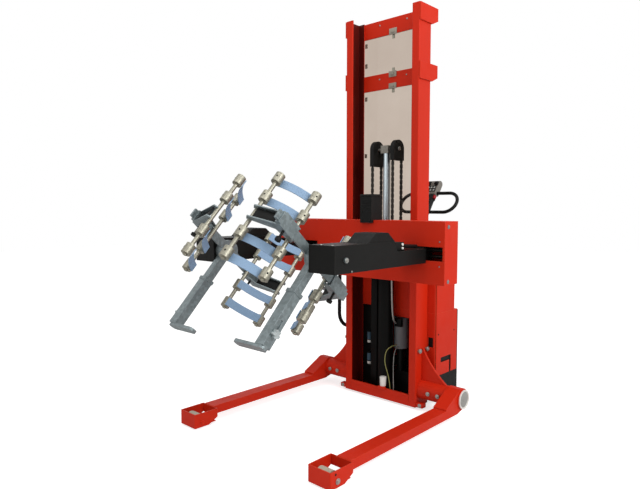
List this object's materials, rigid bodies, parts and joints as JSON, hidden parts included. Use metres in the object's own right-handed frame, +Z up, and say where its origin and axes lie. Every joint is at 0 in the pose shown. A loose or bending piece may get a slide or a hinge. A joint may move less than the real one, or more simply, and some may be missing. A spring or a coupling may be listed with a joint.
{
  "type": "drum tipper",
  "caption": "Pedestrian straddle stacker with sliding clamp arms and turning strap pads that grip a drum, lift it and tip it to pour.",
  "frame": {"origin": "on the floor under the middle of the drum that the pads hold, on the tipping axis", "axes": "+Z up, -Y the way the load faces, +X the left of the operator at the tiller"},
  "size_m": [1.2, 1.9418, 2.327],
  "materials": {
    "red_paint": "gloss",
    "black_paint": "satin",
    "black_plastic": "matte",
    "steel": "satin",
    "zinc": "satin",
    "strap_blue": "matte",
    "clear": "clear",
    "grey_cast": "satin",
    "wheel_white": "satin",
    "tread": "matte",
    "hose_black": "satin",
    "signal_red": "gloss"
  },
  "bodies": {
    "chassis": {"uprights": "red_paint", "mast_base": "red_paint", "crossmembers": "red_paint", "screen": "clear", "fasteners": "zinc", "lift_cylinder": "black_paint", "rear_chains": "steel", "hose_fixed_leg": "hose_black", "left_leg": "red_paint", "right_leg": "red_paint", "leg_tubes": "red_paint", "gussets": "red_paint", "pump_motor": "grey_cast", "valves": "black_paint", "rear_housing": "red_paint", "lower_cover": "red_paint", "rear_skirt": "black_plastic"},
    "lift_head": {"piston_rod": "steel", "rod_yoke": "steel", "pulley_guards": "black_plastic", "front_chains": "steel"},
    "chain_pulleys": {"chain_pulleys": "steel"},
    "carriage": {"carriage_plate": "red_paint", "guide_rails": "steel", "roller_frame": "red_paint", "clamp_motor": "black_paint", "hose_moving_leg": "hose_black"},
    "drive_fork": {"drive_fork": "black_paint"},
    "drive_wheel": {"drive_wheel": "tread"},
    "tiller": {"tiller_arm": "black_paint", "tiller_head": "black_plastic"},
    "belly_button": {"belly_button": "signal_red"},
    "left_arm": {"left_arm": "black_paint", "left_motor_cover": "black_plastic"},
    "left_head": {"left_head_frame": "steel"},
    "left_foot": {"left_foot": "zinc"},
    "left_star_knob": {"left_star_knob": "zinc"},
    "left_roller": {"left_roller": "wheel_white"},
    "left_upper_pad": {"left_upper_carrier": "zinc", "left_upper_rods": "zinc", "left_upper_straps": "strap_blue"},
    "left_upper_lock_screw": {"left_upper_lock_screw": "black_plastic"},
    "left_lower_pad": {"left_lower_carrier": "zinc", "left_lower_rods": "zinc", "left_lower_straps": "strap_blue"},
    "left_lower_lock_screw": {"left_lower_lock_screw": "black_plastic"},
    "right_arm": {"right_arm": "black_paint", "right_motor_cover": "black_plastic"},
    "right_head": {"right_head_frame": "steel"},
    "right_foot": {"right_foot": "zinc"},
    "right_star_knob": {"right_star_knob": "zinc"},
    "right_roller": {"right_roller": "wheel_white"},
    "right_upper_pad": {"right_upper_carrier": "zinc", "right_upper_rods": "zinc", "right_upper_straps": "strap_blue"},
    "right_upper_lock_screw": {"right_upper_lock_screw": "black_plastic"},
    "right_lower_pad": {"right_lower_carrier": "zinc", "right_lower_rods": "zinc", "right_lower_straps": "strap_blue"},
    "right_lower_lock_screw": {"right_lower_lock_screw": "black_plastic"}
  },
  "joints": [
    {"name": "lift_rod", "type": "slide", "parent": "chassis", "child": "lift_head", "axis": [0, 0, 1], "range_m": [-0.2, 0.56], "deforming": ["rear_chains", "hose_fixed_leg"]},
    {"name": "chain_lift", "type": "slide", "parent": "lift_head", "child": "carriage", "axis": [0, 0, 1], "range_m": [-0.2, 0.56], "deforming": ["front_chains", "hose_moving_leg"]},
    {"name": "pulley_spin", "type": "hinge", "parent": "lift_head", "child": "chain_pulleys", "pos_m": [0, 0.968, 1.53], "axis": [1, 0, 0], "range_deg": [-740, 270]},
    {"name": "steering", "type": "hinge", "parent": "chassis", "child": "drive_fork", "pos_m": [0, 1.173, 0.5], "axis": [0, 0, 1], "range_deg": [-60, 60]},
    {"name": "drive_wheel_spin", "type": "hinge", "parent": "drive_fork", "child": "drive_wheel", "pos_m": [0, 1.173, 0.09], "axis": [1, 0, 0], "continuous": true},
    {"name": "tiller_tilt", "type": "hinge", "parent": "drive_fork", "child": "tiller", "pos_m": [0, 1.225, 0.91], "axis": [1, 0, 0], "range_deg": [-45, 0], "stiffness_Nm_per_rad": 30, "springref_deg": 40.11},
    {"name": "belly_press", "type": "slide", "parent": "tiller", "child": "belly_button", "axis": [0, -0.8192, 0.5736], "range_m": [0, 0.008], "stiffness_N_per_m": 900, "springref_m": -0.003},
    {"name": "left_clamp", "type": "slide", "parent": "carriage", "child": "left_arm", "axis": [1, 0, 0], "range_m": [-0.025, 0.08]},
    {"name": "left_tip", "type": "hinge", "parent": "left_arm", "child": "left_head", "pos_m": [0, 0, 0.955], "axis": [1, 0, 0], "range_deg": [-137, 43]},
    {"name": "left_foot_slide", "type": "slide", "parent": "left_head", "child": "left_foot", "axis": [0, -0.682, -0.7314], "range_m": [0, 0.06]},
    {"name": "left_star_knob_turn", "type": "hinge", "parent": "left_head", "child": "left_star_knob", "pos_m": [0.35, -0.27621, 0.6588], "axis": [1, 0, 0], "continuous": true},
    {"name": "left_roller_spin", "type": "hinge", "parent": "chassis", "child": "left_roller", "pos_m": [0.4815, -0.107, 0.036], "axis": [1, 0, 0], "continuous": true},
    {"name": "left_upper_pad_slide", "type": "slide", "parent": "left_head", "child": "left_upper_pad", "axis": [0, -0.7314, 0.682], "range_m": [-0.03, 0.025]},
    {"name": "left_upper_screw_turn", "type": "hinge", "parent": "left_upper_pad", "child": "left_upper_lock_screw", "pos_m": [0.306, -0.16236, 1.1064], "axis": [0, -0.682, -0.7314], "continuous": true},
    {"name": "left_lower_pad_slide", "type": "slide", "parent": "left_head", "child": "left_lower_pad", "axis": [0, 0.7314, -0.682], "range_m": [-0.03, 0.025]},
    {"name": "left_lower_screw_turn", "type": "hinge", "parent": "left_lower_pad", "child": "left_lower_lock_screw", "pos_m": [0.306, 0.16236, 0.8036], "axis": [0, -0.682, -0.7314], "continuous": true},
    {"name": "right_clamp", "type": "slide", "parent": "carriage", "child": "right_arm", "axis": [1, 0, 0], "range_m": [-0.08, 0.025]},
    {"name": "right_tip", "type": "hinge", "parent": "right_arm", "child": "right_head", "pos_m": [0, 0, 0.955], "axis": [1, 0, 0], "range_deg": [-137, 43]},
    {"name": "right_foot_slide", "type": "slide", "parent": "right_head", "child": "right_foot", "axis": [0, -0.682, -0.7314], "range_m": [0, 0.06]},
    {"name": "right_star_knob_turn", "type": "hinge", "parent": "right_head", "child": "right_star_knob", "pos_m": [-0.35, -0.27621, 0.6588], "axis": [1, 0, 0], "continuous": true},
    {"name": "right_roller_spin", "type": "hinge", "parent": "chassis", "child": "right_roller", "pos_m": [-0.4815, -0.107, 0.036], "axis": [1, 0, 0], "continuous": true},
    {"name": "right_upper_pad_slide", "type": "slide", "parent": "right_head", "child": "right_upper_pad", "axis": [0, -0.7314, 0.682], "range_m": [-0.03, 0.025]},
    {"name": "right_upper_screw_turn", "type": "hinge", "parent": "right_upper_pad", "child": "right_upper_lock_screw", "pos_m": [-0.306, -0.16236, 1.1064], "axis": [0, -0.682, -0.7314], "continuous": true},
    {"name": "right_lower_pad_slide", "type": "slide", "parent": "right_head", "child": "right_lower_pad", "axis": [0, 0.7314, -0.682], "range_m": [-0.03, 0.025]},
    {"name": "right_lower_screw_turn", "type": "hinge", "parent": "right_lower_pad", "child": "right_lower_lock_screw", "pos_m": [-0.306, 0.16236, 0.8036], "axis": [0, -0.682, -0.7314], "continuous": true}
  ],
  "couplings": [
    {"joint": "chain_lift", "follows": "lift_rod", "ratio": 1},
    {"joint": "pulley_spin", "follows": "lift_rod", "rad_per_m": -22.727},
    {"joint": "right_clamp", "follows": "left_clamp", "ratio": -1},
    {"joint": "right_tip", "follows": "left_tip", "ratio": 1}
  ]
}
